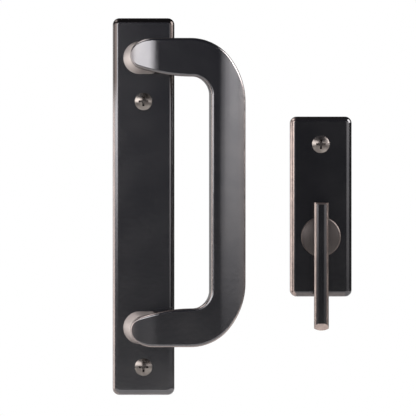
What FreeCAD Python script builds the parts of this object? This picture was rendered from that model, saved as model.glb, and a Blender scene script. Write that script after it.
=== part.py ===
"""Interior hardware set of a sliding patio door: a bow pull on a long plate and a thumb turn.

Millimetres. X runs to the right across the door, Z up, and the door's face is the plane Y = 0.
The hardware stands out towards -Y and its screws go into the door towards +Y. The origin is
midway between the two screws of the pull.
"""
import FreeCAD, Part
import math
import os
import re
import Sketcher

os.makedirs("parts", exist_ok=True)
doc = FreeCAD.newDocument("patio_door_handle_set")
sheet = doc.addObject("Spreadsheet::Sheet", "sizes")

# Each driving dimension: its alias, its value and what it measures.
SIZES = [
    ("screw_spacing", 168.3, "between the two door screws of the pull"),
    ("set_spacing", 112.4, "from the middle of the pull's plate to the middle of the thumb turn's"),
    ("plate_head", 24.1, "from the middle of the upper foot to the tall plate's upper end"),
    ("plate_tail", 17.85, "from the lower screw to the tall plate's lower end"),
    ("plate_width", 39.1, "both plates"),
    ("plate_thick", 8.0, "both plates, from the door to the front face"),
    ("plate_corner", 4.2, "corner radius seen from the front"),
    ("plate_edge", 3.4, "rounding round the front face"),
    ("plate_face", 3.2, "front wall of the hollow casting"),
    ("plate_wall", 3.0, "side wall of the hollow casting"),
    ("boss_radius", 8.0, "post round a door screw inside the casting"),
    ("rib_thick", 1.8, "cross rib inside the casting"),
    ("rib_relief", 0.4, "ribs stop this short of the door"),
    ("rib_clear", 16.0, "from the upper screw, the lower foot or the lock screw to the next rib"),
    ("foot_rib_clear", 12.8, "from the middle of a foot to the ribs above and below it"),
    ("rib_count", 8, "ribs between the lower foot and the upper screw"),
    ("lock_plate_length", 114.2, "short plate"),
    ("upper_foot_gap", 28.75, "from the upper screw up to the middle of the upper foot"),
    ("lower_foot_gap", 23.85, "from the lower screw up to the middle of the lower foot"),
    ("arm_over", 10.4, "middle of a foot to the arm's outer edge at the front"),
    ("arm_under", 14.1, "middle of a foot to the arm's inner edge at the front"),
    ("bow_front", 40.0, "door to the front of the arms and grip"),
    ("grip_back", 26.5, "door to the finger side of the grip"),
    ("grip_inner", 43.2, "plate's middle to the grip's inner edge at the front"),
    ("grip_lean", 5.0, "that inner side leans in by this down to the level of the plate"),
    ("grip_outer", 64.4, "plate's middle to the grip's outer edge"),
    ("corner_reach", 34.3, "outer corner's extent along the arm"),
    ("corner_drop", 40.3, "outer corner's extent along the grip"),
    ("corner_top", 31.0, "radius of the outer corner where it leaves the arm"),
    ("inner_corner", 12.0, "radius of the window's corners"),
    ("foot_half", 10.6, "half height of a foot on the plate"),
    ("foot_inner", 13.0, "plate's middle to the finger side of a foot"),
    ("foot_throat", 11.0, "rounding under the arm beside a foot"),
    ("foot_draft", 1.1, "foot's finger side narrows by this towards the plate's edge"),
    ("tip_draft", 0.6, "tip of a foot leans out by this from the front to the plate"),
    ("flare_height", 5.0, "tip of a foot widens to the plate over this height"),
    ("flare_tip", 12.8, "plate's middle to the tip of the flare on the plate"),
    ("flare_radius", 10.3, "tip of the flare on the plate"),
    ("flare_drop", 1.1, "the flare is nearer to the middle of the bow by this than the tip above it"),
    ("flare_end", 10.0, "plate's middle to where the flare ends inside the foot"),
    ("flare_bite", 0.2, "the flare's upper edge lies this deep in the foot"),
    ("grip_draft", 0.3, "grip's outer edge leans out by this at the level of the plate"),
    ("crest_start", 6.0, "plate's middle to where the arm starts to narrow at the front"),
    ("crest_tip", 7.8, "plate's middle to the tip of a foot at the front"),
    ("crest_tip_radius", 8.8, "tip of a foot at the front"),
    ("crest_left_run", 17.8, "tip of a foot at the front to where the front starts to fall to it"),
    ("crest_left_radius", 30.0, "front of the foot seen from above"),
    ("crest_right_run", 18.4, "grip's outer edge to where the front starts to fall to it"),
    ("crest_right_radius", 32.0, "front of the grip seen from above"),
    ("bow_stock", 0.5, "the bow is lofted past its front by this and trimmed back"),
    ("bow_front_edge", 1.8, "rounding round the front of the bow"),
    ("bow_back_edge", 3.0, "rounding round the finger side of the bow"),
    ("bow_screw_radius", 2.5, "M5 screws that hold the bow to its plate"),
    ("bow_screw_length", 14.0, "under the head"),
    ("bow_screw_left", -3.5, "left screw of a foot from the plate's middle"),
    ("bow_screw_gap", 11.0, "between the two screws of a foot"),
    ("bow_head_radius", 4.6, "pan head"),
    ("bow_head_height", 2.9, "pan head"),
    ("thread_chamfer", 0.6, "end of the bow's screws"),
    ("thread_end_gap", 2.0, "tapped hole runs deeper than the screw's end"),
    ("spring_ring_thick", 1.2, "split spring washer"),
    ("spring_ring_radius", 4.3, "split spring washer, outside"),
    ("spring_ring_slit", 0.8, "width of its slit"),
    ("spring_ring_lean", 0.8, "slit leans by this from face to face"),
    ("bolt_play", 0.25, "shank to its plain hole, on the radius"),
    ("door_screw_radius", 2.74, "number 12 machine screw, over its thread"),
    ("door_shank_radius", 2.4, "plain shank ahead of the rolled thread"),
    ("door_head_radius", 5.55, "raised countersunk head"),
    ("door_head_crown", 1.5, "dome above the rim"),
    ("countersink", 82.0, "full angle of the head's cone, in degrees"),
    ("door_screw_tip", 0.9, "chamfer at the screw's end"),
    ("pull_screw_length", 50.8, "from the rim to the end, through the door"),
    ("lock_screw_length", 31.8, "from the rim to the end"),
    ("cross_length", 6.5, "cross recess of the door screws, tip to tip"),
    ("cross_width", 1.4, "wing of the cross recess"),
    ("cross_depth", 2.8, "cross recess below the crown"),
    ("small_cross_length", 4.6, "cross recess of the bow's screws"),
    ("small_cross_width", 1.1, "wing of that recess"),
    ("small_cross_depth", 1.9, "depth of that recess"),
    ("lock_screw_inset", 17.6, "from the short plate's upper end to its screw"),
    ("turn_inset", 38.0, "from the short plate's lower end to the thumb turn's axis"),
    ("hub_radius", 12.7, "round base of the lever"),
    ("hub_rim", 2.2, "height of the base's rim"),
    ("hub_rim_round", 1.4, "rounding of that rim"),
    ("hub_rise", 1.2, "from the rim to the neck"),
    ("hub_dome", 46.0, "radius of the base's face, a low dome"),
    ("hub_gap", 0.3, "between the base and the plate"),
    ("neck_radius", 4.2, "between the base and the lever"),
    ("lever_front", 26.5, "door to the front of the lever"),
    ("lever_thick", 7.2, "front to back"),
    ("lever_width", 9.3, "seen from the front"),
    ("lever_up", 21.6, "axis to the lever's upper end"),
    ("lever_down", 59.1, "axis to the lever's lower end"),
    ("lever_round", 3.2, "front long edges"),
    ("lever_back_round", 1.4, "back long edges"),
    ("lever_end", 9.0, "radius of the lower end, seen from the front"),
    ("lever_facet", 4.4, "sloping facet at the lower end, seen from the front"),
    ("lever_facet_depth", 4.6, "the same facet, front to back"),
    ("lever_top_facet", 1.2, "small slope at the upper end"),
    ("stem_radius", 4.75, "stem that turns in the plate"),
    ("stem_end", 17.0, "door to the stem's end inside the door"),
    ("stem_flat", 7.6, "across the stem's two flats"),
    ("stem_chamfer", 0.6, "end of the stem"),
    ("running_gap", 0.05, "stem in its bushing, on the radius"),
    ("bushing_wall", 1.2, "sleeve round the stem"),
    ("bushing_flange", 2.6, "flange wider than the sleeve, on the radius"),
    ("flange_thick", 1.0, "flange, let in flush with the plate"),
    ("spigot_wall", 3.5, "collar round the bushing"),
    ("spigot_length", 4.5, "collar behind the door's face"),
    ("collar_step", 1.0, "post inside the casting stands round the collar by this"),
    ("turn_angle", 90.0, "travel of the thumb turn, in degrees"),
    ("tab_angle", 50.0, "width of the stop washer's tab, in degrees"),
    ("stop_play", 2.5, "tab to each stop, in degrees"),
    ("stop_height", 1.7, "stop behind the collar"),
    ("stop_inner", 7.4, "inside radius of the stop"),
    ("stop_outer", 9.2, "outside radius of the stop"),
    ("stop_disc", 7.0, "stop washer without its tab"),
    ("stop_tab", 9.0, "reach of the tab"),
    ("stop_washer_thick", 1.2, "stop washer"),
    ("seat_gap", 0.3, "collar to the stop washer"),
    ("disc_spring_radius", 7.0, "conical spring washer, outside"),
    ("disc_spring_thick", 0.5, "conical spring washer"),
    ("disc_spring_cone", 0.7, "rise of its cone"),
    ("thrust_radius", 6.8, "flat washer under the ring"),
    ("thrust_thick", 0.8, "flat washer"),
    ("ring_radius", 6.4, "retaining ring, outside"),
    ("ring_groove", 4.0, "bottom of the ring's groove in the stem"),
    ("ring_thick", 0.9, "retaining ring"),
    ("ring_mouth", 4.6, "open side of the retaining ring"),
    ("ring_play", 0.05, "ring in its groove, each side"),
    ("washer_play", 0.1, "washers round the stem, on the radius"),
    ("tail_width", 6.35, "flat bar that turns the lock"),
    ("tail_thick", 2.4, "flat bar"),
    ("tail_end", 44.0, "door to the far end of the bar"),
    ("tail_seat", 10.0, "door to the near end of the bar, inside the stem"),
    ("tail_play", 0.1, "bar in its slot"),
    ("pin_radius", 1.0, "cross pin through stem and bar"),
    ("pin_place", 13.5, "door to the cross pin"),
    ("cut_past", 1.0, "cuts start and end this far outside the faces they go through"),
]
# Worked out from the sizes above. Rises and drops are from the middle of the pull's screws, and
# foot_mid is from the middle of the bow. The bow's outline is base on the plate and crest in front.
DERIVED = [
    ("bow_rise", "(upper_foot_gap + lower_foot_gap) / 2"),
    ("foot_mid", "(screw_spacing + upper_foot_gap - lower_foot_gap) / 2"),
    ("plate_rise", "(bow_rise + foot_mid + plate_head - screw_spacing / 2 - plate_tail) / 2"),
    ("pull_plate_length", "bow_rise + foot_mid + plate_head + screw_spacing / 2 + plate_tail"),
    ("lock_screw_rise", "lock_plate_length / 2 - lock_screw_inset"),
    ("hub_drop", "lock_plate_length / 2 - turn_inset"),
    ("base_outer", "foot_mid + foot_half"),
    ("base_inner", "foot_mid - foot_half - foot_draft"),
    ("base_mid", "foot_mid"),
    ("base_start", "crest_start"),
    ("base_tip", "crest_tip + tip_draft"),
    ("base_tip_radius", "crest_tip_radius"),
    ("base_window", "grip_inner - grip_lean"),
    ("base_right", "grip_outer + grip_draft"),
    ("crest_outer", "foot_mid + arm_over"),
    ("crest_inner", "foot_mid - arm_under"),
    ("crest_mid", "foot_mid"),
    ("crest_window", "grip_inner"),
    ("crest_right_side", "grip_outer"),
    ("crest_left", "crest_left_run - crest_tip"),
    ("crest_right", "grip_outer - crest_right_run"),
]


def arc_formulas(level, right):
    """Where the arcs of one outline meet, so that each runs smoothly into the next.

    The foot's tip is a small arc between a long one above it, the flank, and a sweep below it,
    and the outer corner is two arcs, its top and its side.
    """
    name = level + "_"
    toe, tip = f"({name}tip_radius - {name}tip)", f"{name}tip_radius"
    rise, fall = f"({name}outer - {name}mid)", f"({name}mid - {name}inner)"
    span, run = f"({name}start + {name}tip)", f"({name}window - inner_corner - {toe})"
    bend, side = f"({name}flank - {tip})", f"({name}sweep - {tip})"
    turn = f"({name}side - corner_top)"
    return [
        (name + "flank", f"({span}^2 + {rise}^2 - 2 * {span} * {tip}) / (2 * ({rise} - {tip}))"),
        (name + "flank_x", f"{toe} + {tip} * ({toe} - {name}start) / {bend}"),
        (name + "flank_z", f"{name}mid + {tip} * ({name}flank - {rise}) / {bend}"),
        (name + "sweep", f"({run}^2 + {fall}^2 - {tip}^2) / (2 * ({fall} - {tip}))"),
        (name + "sweep_x", f"{toe} - {tip} * {run} / {side}"),
        (name + "sweep_z", f"{name}mid - {tip} * ({name}sweep - {fall}) / {side}"),
        (name + "side", "(corner_reach^2 + corner_drop^2 - 2 * corner_drop * corner_top)"
                        " / (2 * (corner_reach - corner_top))"),
        (name + "side_x", f"{right} - {name}side + {name}side * ({name}side - corner_reach) / {turn}"),
        (name + "side_z", f"{name}outer - corner_drop + {name}side * (corner_drop - corner_top) / {turn}"),
    ]


DERIVED += arc_formulas("base", "base_right") + arc_formulas("crest", "crest_right_side")
ALIASES = {row[0] for row in SIZES + DERIVED}


def fill_sheet():
    """Writes each driving dimension, then each derived one, to a row of the sheet."""
    rows = SIZES + [(alias, "=" + formula, "derived") for alias, formula in DERIVED]
    for row, (alias, entry, note) in enumerate(rows, start=1):
        sheet.set(f"A{row}", alias)
        sheet.set(f"B{row}", str(entry))
        sheet.set(f"C{row}", note)
        sheet.setAlias(f"B{row}", alias)
    doc.recompute()


def value(text):
    """The number that an expression in the sheet's aliases comes to."""
    return float(sheet.evalExpression(str(text)))


def bound(text):
    """The same expression as another object of the document reads it."""
    return re.sub(r"[a-z_]+", lambda word: ("sizes." if word[0] in ALIASES else "") + word[0], str(text))


def bind(thing, **expressions):
    """Ties properties of an object to expressions, with two underscores for a dot in the path."""
    for path, text in expressions.items():
        thing.setExpression(path.replace("__", "."), bound(text))


def origin_part(body, role):
    """One of the body's own origin planes or axes."""
    return next(item for item in body.Origin.OriginFeatures if item.Role == role)


def new_body(label, x="0", y="0", z="0"):
    """An empty body whose own origin lies at x, y, z of the set."""
    body = doc.addObject("PartDesign::Body", label)
    body.Label = label
    bind(body, Placement__Base__x=x, Placement__Base__y=y, Placement__Base__z=z)
    return body


def new_sketch(body, name, role, lift="0", up="0"):
    """A sketch on an origin plane, lifted along its normal and moved up along its second axis."""
    sketch = body.newObject("Sketcher::SketchObject", name)
    sketch.AttachmentSupport = [(origin_part(body, role), "")]
    sketch.MapMode = "FlatFace"
    bind(sketch, AttachmentOffset__Base__z=lift, AttachmentOffset__Base__y=up)
    return sketch


def pin(sketch, edge, end, x, y):
    """Ties a point of a sketch edge to the place that two expressions give."""
    for kind, axis, text in (("DistanceX", -2, x), ("DistanceY", -1, y)):
        if text == "0":
            sketch.addConstraint(Sketcher.Constraint("PointOnObject", edge, end, axis))
            continue
        row = sketch.addConstraint(Sketcher.Constraint(kind, -1, 1, edge, end, value(text)))
        sketch.setExpression(f"Constraints[{row}]", bound(text))


def size(sketch, kind, edge, text):
    """Gives a sketch edge a size, such as its radius, from an expression."""
    row = sketch.addConstraint(Sketcher.Constraint(kind, edge, value(text)))
    sketch.setExpression(f"Constraints[{row}]", bound(text))


def flat_point(x, y):
    """A sketch point from two expressions."""
    return FreeCAD.Vector(value(x), value(y), 0)


def arc_between(first, last, radius, turn):
    """The short arc between two points that bends left (turn 1) or right (turn -1)."""
    chord = last - first
    rise = math.sqrt(max(radius ** 2 - (chord.Length / 2) ** 2, 0))
    side = FreeCAD.Vector(-chord.y, chord.x, 0).normalize()
    centre = (first + last) * 0.5 + side * (rise * turn)
    start, stop = (first, last) if turn > 0 else (last, first)
    angles = [math.atan2(point.y - centre.y, point.x - centre.x) for point in (start, stop)]
    circle = Part.Circle(centre, FreeCAD.Vector(0, 0, 1), radius)
    return Part.ArcOfCircle(circle, angles[0], angles[1] + (2 * math.pi if angles[1] < angles[0] else 0))


def outline(sketch, points, arcs=None):
    """A closed outline through pinned points; arcs gives the radius and turn of its round edges."""
    arcs = arcs or {}
    ends = []
    for index, point in enumerate(points):
        first = flat_point(*point)
        last = flat_point(*points[(index + 1) % len(points)])
        if index in arcs:
            radius, turn = arcs[index]
            edge = sketch.addGeometry(arc_between(first, last, value(radius), turn))
            size(sketch, "Radius", edge, radius)
            ends.append((edge, 1, 2) if turn > 0 else (edge, 2, 1))
        else:
            ends.append((sketch.addGeometry(Part.LineSegment(first, last)), 1, 2))
    for (edge, start, stop), (after, after_start, after_stop), point in zip(
            ends, ends[1:] + ends[:1], points[1:] + points[:1]):
        sketch.addConstraint(Sketcher.Constraint("Coincident", edge, stop, after, after_start))
        pin(sketch, after, after_start, *point)
    return sketch


def rounded_rectangle(sketch, half_width, half_height, radius):
    """A rectangle with round corners about the sketch's origin."""
    right, top = f"({half_width})", f"({half_height})"
    near, high = f"({half_width}) - ({radius})", f"({half_height}) - ({radius})"
    points = [(right, f"-({high})"), (right, high), (near, top), (f"-({near})", top),
              (f"-{right}", high), (f"-{right}", f"-({high})"), (f"-({near})", f"-{top}"), (near, f"-{top}")]
    return outline(sketch, points, {corner: (radius, 1) for corner in (1, 3, 5, 7)})


def rectangle(sketch, left, bottom, right, top):
    """A rectangle between four expressions."""
    return outline(sketch, [(left, bottom), (right, bottom), (right, top), (left, top)])


def disc(sketch, x, y, radius):
    """A full circle at a pinned centre."""
    circle = Part.Circle(flat_point(x, y), FreeCAD.Vector(0, 0, 1), value(radius))
    edge = sketch.addGeometry(circle)
    pin(sketch, edge, 3, x, y)
    size(sketch, "Radius", edge, radius)
    return sketch


def pad(body, sketch, length, **settings):
    """Material from a sketch along its normal."""
    feature = body.newObject("PartDesign::Pad", sketch.Name + "_pad")
    feature.Profile = sketch
    bind(feature, Length=length)
    return finish(feature, settings)


def pocket(body, sketch, length, **settings):
    """A cut from a sketch; Reversed sends it along the sketch's normal."""
    feature = body.newObject("PartDesign::Pocket", sketch.Name + "_pocket")
    feature.Profile = sketch
    bind(feature, Length=length)
    return finish(feature, settings)


def turned(body, sketch, axis="V_Axis", kind="PartDesign::Revolution"):
    """A solid of revolution, or with PartDesign::Groove a turned cut, about a sketch axis."""
    feature = body.newObject(kind, sketch.Name + "_turned")
    feature.Profile = sketch
    feature.ReferenceAxis = (sketch, [axis])
    feature.Angle = 360
    return finish(feature, {})


def finish(feature, settings):
    """Sets plain settings on a feature and works it out."""
    for name, setting in settings.items():
        setattr(feature, name, setting)
    doc.recompute()
    return feature


def repeat(body, feature, span, count):
    """Copies a feature upwards along Z over a span."""
    pattern = body.newObject("PartDesign::LinearPattern", feature.Name + "_row")
    pattern.Originals = [feature]
    pattern.Direction = (origin_part(body, "Z_Axis"), [""])
    bind(pattern, Length=span, Occurrences=count)
    body.Tip = pattern
    doc.recompute()
    return pattern


def round_edges(body, base, radius, test):
    """Rounds the edges of the last feature whose middle point passes the test."""
    names = [f"Edge{index}" for index, edge in enumerate(base.Shape.Edges, start=1) if test(edge)]
    fillet = body.newObject("PartDesign::Fillet", base.Name + "_round")
    fillet.Base = (base, names)
    bind(fillet, Radius=radius)
    doc.recompute()
    return fillet


def middle(edge):
    """The point halfway along an edge."""
    return edge.valueAt((edge.FirstParameter + edge.LastParameter) / 2)


def runs_along(edge, axis):
    """Whether an edge is straight and parallel to an axis."""
    start, stop = edge.valueAt(edge.FirstParameter), edge.valueAt(edge.LastParameter)
    return (stop - start).normalize().cross(axis).Length < 1e-4 and edge.Curve.TypeId == "Part::GeomLine"


def cross_recess(body, plane_lift, length, width, depth, **settings):
    """A cross recess with square wings, cut from a plane that faces the driver."""
    wings = new_sketch(body, body.Name + "_cross", "XZ_Plane", lift=plane_lift)
    long, short = f"({length}) / 2", f"({width}) / 2"
    corners = [(long, f"-{short}"), (long, short), (short, short), (short, long),
               (f"-{short}", long), (f"-{short}", short), (f"-{long}", short), (f"-{long}", f"-{short}"),
               (f"-{short}", f"-{short}"), (f"-{short}", f"-{long}"),
               (short, f"-{long}"), (short, f"-{short}")]
    outline(wings, corners)
    return pocket(body, wings, depth, **settings)


# Heights on the pull's plate, from the plate's own middle.
UPPER_SCREW = "screw_spacing / 2 - plate_rise"
LOWER_SCREW = "-screw_spacing / 2 - plate_rise"
UPPER_FOOT = "bow_rise + foot_mid - plate_rise"
LOWER_FOOT = "bow_rise - foot_mid - plate_rise"
HOLLOW_HALF_WIDTH = "plate_width / 2 - plate_wall"
HEAD_CONE = "(door_head_radius - door_shank_radius) / tan(countersink / 2 * 1deg)"
BUSHING_RADIUS = "(stem_radius + running_gap + bushing_wall)"
SPIGOT_RADIUS = "(stem_radius + running_gap + bushing_wall + spigot_wall)"


def cast_plate(label, length, x, posts):
    """The hollow casting that both plates share, with round posts inside it."""
    body = new_body(label, x=x, z="plate_rise")
    face = new_sketch(body, label + "_face", "XZ_Plane")
    rounded_rectangle(face, "plate_width / 2", f"{length} / 2", "plate_corner")
    block = pad(body, face, "plate_thick")
    front = -value("plate_thick")
    soft = round_edges(body, block, "plate_edge", lambda edge: abs(middle(edge).y - front) < 1e-4)
    hollow = new_sketch(body, label + "_hollow", "XZ_Plane")
    inner_corner = "plate_corner - plate_wall / 2"
    rounded_rectangle(hollow, HOLLOW_HALF_WIDTH, f"{length} / 2 - plate_wall", inner_corner)
    for height, radius in posts:
        disc(hollow, "0", height, radius)
    pocket(body, hollow, "plate_thick - plate_face", Reversed=True)
    return body


def add_rib(body, name, height):
    """One cross rib from side wall to side wall inside a plate."""
    rib = new_sketch(body, f"{body.Name}_{name}", "XZ_Plane", lift="rib_relief")
    half = f"({HOLLOW_HALF_WIDTH} + plate_wall / 2)"
    rectangle(rib, f"-{half}", f"{height} - rib_thick / 2", half, f"{height} + rib_thick / 2")
    return pad(body, rib, "plate_thick - plate_face / 2 - rib_relief")


def add_screw_seat(body, name, height):
    """A countersunk hole through a plate for a door screw."""
    seat = new_sketch(body, f"{body.Name}_{name}", "YZ_Plane", up=height)
    hole = "(door_screw_radius + bolt_play)"
    cone = f"(door_head_radius - {hole}) / tan(countersink / 2 * 1deg)"
    proud, through = "-plate_thick - cut_past", "cut_past"
    outline(seat, [(proud, "0"), (through, "0"), (through, hole), (f"-plate_thick + {cone}", hole),
                   ("-plate_thick", "door_head_radius"), (proud, "door_head_radius")])
    return turned(body, seat, "H_Axis", "PartDesign::Groove")


def make_pull_plate():
    """Tall plate: two countersunk door screw seats, two pairs of holes for the bow's feet, ribs."""
    body = cast_plate("pull_back_plate", "pull_plate_length", "0",
                      [(UPPER_SCREW, "boss_radius"), (LOWER_SCREW, "boss_radius")])
    rib = add_rib(body, "rib", f"{LOWER_FOOT} + rib_clear")
    repeat(body, rib, f"({UPPER_SCREW}) - ({LOWER_FOOT}) - 2 * rib_clear", "rib_count")
    add_rib(body, "rib_at_upper_screw", UPPER_SCREW)
    add_rib(body, "rib_under_foot", f"{UPPER_FOOT} - foot_rib_clear")
    add_rib(body, "rib_over_foot", f"{UPPER_FOOT} + foot_rib_clear")
    add_rib(body, "rib_under_low_foot", f"{LOWER_FOOT} - foot_rib_clear")
    add_rib(body, "rib_at_lower_screw", LOWER_SCREW)
    seat = add_screw_seat(body, "seat", LOWER_SCREW)
    repeat(body, seat, "screw_spacing", "2")
    holes = new_sketch(body, "foot_holes", "XZ_Plane")
    for x in ("bow_screw_left", "bow_screw_left + bow_screw_gap"):
        disc(holes, x, LOWER_FOOT, "bow_screw_radius + bolt_play")
    drilled = pocket(body, holes, "plate_thick + cut_past", Reversed=True)
    repeat(body, drilled, "2 * foot_mid", "2")
    return body


def bow_outline(sketch, level, right):
    """Upper half of the bow from the front: arm, foot, window corner, grip and outer corner."""
    outer, inner, window = level + "_outer", level + "_inner", level + "_window"
    points = [(f"{right} - corner_reach", outer), (level + "_start", outer),
              (level + "_flank_x", level + "_flank_z"), (level + "_sweep_x", level + "_sweep_z"),
              (f"{window} - inner_corner", inner), (window, f"{inner} - inner_corner"),
              (window, "0"), (right, "0"), (right, f"{outer} - corner_drop"),
              (level + "_side_x", level + "_side_z")]
    arcs = {1: (level + "_flank", 1), 2: (level + "_tip_radius", 1), 3: (level + "_sweep", 1),
            4: ("inner_corner", -1), 8: (level + "_side", 1), 9: ("corner_top", 1)}
    return outline(sketch, points, arcs)


def flare_outline(sketch, tip, radius, mid):
    """Half round about the tip of a foot, with straight sides that end inside the foot."""
    middle_x, low, high = f"({radius} - {tip})", f"({mid} - {radius})", f"({mid} + {radius})"
    return outline(sketch, [("flare_end", low), ("flare_end", high), (middle_x, high),
                            (f"-{tip}", mid), (middle_x, low)],
                   {2: (radius, 1), 3: (radius, 1)})


def crest_depth(x):
    """Distance of the bow's front from the door at a place seen from above."""
    front = value("bow_front")
    for end, side in (("crest_left", -1), ("crest_right", 1)):
        run, radius = (x - value(end)) * side, value(end + "_radius")
        if run > 0:
            return front - radius + math.sqrt(radius ** 2 - run ** 2)
    return front


def on_crest(edge):
    """Whether an edge is the rim between the bow's front and its sides."""
    point = middle(edge)
    on_front = abs(-point.y - crest_depth(point.x)) < 1e-3
    return on_front and point.z > 1e-3 and not runs_along(edge, FreeCAD.Vector(0, 0, 1))


def on_finger_side(edge):
    """Whether an edge is the rim between the bow's finger side and its other sides."""
    point = middle(edge)
    throat = value("foot_throat")
    centre = FreeCAD.Vector(value("foot_inner") + throat, throat - value("grip_back"), point.z)
    if point.x >= centre.x:
        on_side = abs(point.y + value("grip_back")) < 1e-3
    elif point.y <= centre.y:
        on_side = abs((point - centre).Length - throat) < 1e-3
    else:
        on_side = abs(point.x - value("foot_inner")) < 1e-3 and point.y < -value("plate_thick") - 1e-3
    return on_side and point.z > 1e-3 and not runs_along(edge, FreeCAD.Vector(0, 0, 1))


def add_loft(body, name, near, far):
    """Material between two outlines of as many edges each, with straight lines across."""
    doc.recompute()
    loft = body.newObject("PartDesign::AdditiveLoft", name)
    loft.Profile = near
    loft.Sections = [far]
    loft.Ruled = True
    loft.Refine = False
    doc.recompute()
    return loft


def make_bow():
    """The bow pull: two drafted feet, two arms and the grip in one casting.

    Half of it is lofted between its outline on the plate and its outline at the front, trimmed
    to its shape seen from above, rounded, and mirrored at the middle of the grip.
    """
    body = new_body("pull_bow", z="bow_rise")
    base = new_sketch(body, "bow_on_plate", "XZ_Plane", lift="plate_thick")
    bow_outline(base, "base", "base_right")
    crest = new_sketch(body, "bow_at_front", "XZ_Plane", lift="bow_front + bow_stock")
    bow_outline(crest, "crest", "crest_right_side")
    add_loft(body, "bow_loft", base, crest)

    left, right = "(-base_tip - cut_past)", "(grip_outer + cut_past)"
    reach = "2 * (base_outer + crest_outer)"
    left_fall, right_fall = [f"({end}_radius - sqrt({end}_radius ^ 2 - ({run}) ^ 2) - bow_front)"
                             for end, run in (("crest_left", f"crest_left - {left}"),
                                              ("crest_right", f"{right} - crest_right"))]
    ahead = "-bow_front - bow_stock - cut_past"
    crown = new_sketch(body, "bow_crown", "XY_Plane")
    outline(crown, [(left, left_fall), ("crest_left", "-bow_front"), ("crest_right", "-bow_front"),
                    (right, right_fall), (right, ahead), (left, ahead)],
            {0: ("crest_left_radius", 1), 2: ("crest_right_radius", 1)})
    pocket(body, crown, reach, Midplane=True)
    throat_end = "foot_throat - grip_back"
    window = new_sketch(body, "bow_finger_side", "XY_Plane")
    behind = "cut_past - plate_thick"
    outline(window, [("foot_inner", behind), ("foot_inner", throat_end),
                     ("foot_inner + foot_throat", "-grip_back"), (right, "-grip_back"), (right, behind)],
            {1: ("foot_throat", 1)})
    trimmed = pocket(body, window, reach, Midplane=True)

    fronted = round_edges(body, trimmed, "bow_front_edge", on_crest)
    round_edges(body, fronted, "bow_back_edge", on_finger_side)
    flare_base = new_sketch(body, "flare_on_plate", "XZ_Plane", lift="plate_thick")
    flare_outline(flare_base, "flare_tip", "flare_radius", "(foot_mid - flare_drop)")
    flare_top = new_sketch(body, "flare_at_top", "XZ_Plane", lift="plate_thick + flare_height")
    flare_outline(flare_top, "(base_tip - flare_bite)", "(base_tip_radius - flare_bite)", "foot_mid")
    add_loft(body, "bow_flare", flare_base, flare_top)
    mirror = body.newObject("PartDesign::Mirrored", "bow_mirror")
    mirror.TransformMode = "Whole shape"
    mirror.MirrorPlane = (origin_part(body, "XY_Plane"), [""])
    # The halves' faces stay apart: joined ones would have edges that lie off their surfaces.
    mirror.Refine = False
    body.Tip = mirror
    doc.recompute()

    taps = new_sketch(body, "bow_taps", "XZ_Plane", lift="plate_thick")
    for x in ("bow_screw_left", "bow_screw_left + bow_screw_gap"):
        for height in ("foot_mid", "-foot_mid"):
            disc(taps, x, height, "bow_screw_radius")
    pocket(body, taps, "bow_screw_length - spring_ring_thick - plate_face + thread_end_gap",
           Reversed=True, Refine=False)
    return body


def make_bow_screw(label, x, z):
    """M5 pan head screw that holds a foot from inside the plate's hollow."""
    body = new_body(label, x=x, y="spring_ring_thick + plate_face - plate_thick", z=z)
    profile = new_sketch(body, label + "_profile", "XY_Plane")
    chamfer, rim = "thread_chamfer", "bow_head_height / 2"
    outline(profile, [("0", "-bow_screw_length"), (f"bow_screw_radius - {chamfer}", "-bow_screw_length"),
                      ("bow_screw_radius", f"{chamfer} - bow_screw_length"), ("bow_screw_radius", "0"),
                      ("bow_head_radius", "0"), ("bow_head_radius", rim),
                      ("bow_head_radius / 2", "bow_head_height"), ("0", "bow_head_height")],
            {5: ("bow_head_radius", 1)})
    turned(body, profile)
    cross_recess(body, "-bow_head_height", "small_cross_length", "small_cross_width", "small_cross_depth",
                 Reversed=True)
    return body


def make_spring_ring(label, x, z):
    """Split spring washer between the plate and a bow screw's head."""
    body = new_body(label, x=x, y="plate_face - plate_thick", z=z)
    profile = new_sketch(body, label + "_profile", "XY_Plane")
    rectangle(profile, "bow_screw_radius + ring_play", "0", "spring_ring_radius", "spring_ring_thick")
    turned(body, profile)
    slit = new_sketch(body, label + "_slit", "YZ_Plane")
    near, far = "-cut_past", "spring_ring_thick + cut_past"
    slope = "spring_ring_lean / spring_ring_thick"
    low, high = f"-cut_past * {slope}", f"({far}) * {slope}"
    outline(slit, [(near, low), (far, high),
                   (far, f"{high} + spring_ring_slit"), (near, f"{low} + spring_ring_slit")])
    pocket(body, slit, "spring_ring_radius + cut_past", Reversed=True)
    return body


def make_door_screw(label, x, z, length):
    """Raised countersunk machine screw; its thread starts at the door's face and runs into the door."""
    body = new_body(label, x=x, y="-plate_thick", z=z)
    profile = new_sketch(body, label + "_profile", "XY_Plane")
    crown = "(door_head_radius ^ 2 + door_head_crown ^ 2) / (2 * door_head_crown)"
    step = "door_screw_radius - door_shank_radius"
    outline(profile, [("0", "-door_head_crown"), ("door_head_radius", "0"), ("door_shank_radius", HEAD_CONE),
                      ("door_shank_radius", f"plate_thick - ({step})"), ("door_screw_radius", "plate_thick"),
                      ("door_screw_radius", f"{length} - door_screw_tip"),
                      ("door_screw_radius - door_screw_tip", length), ("0", length)],
            {0: (crown, 1)})
    turned(body, profile)
    cross_recess(body, "door_head_crown", "cross_length", "cross_width", "cross_depth", Reversed=False)
    return body


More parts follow.
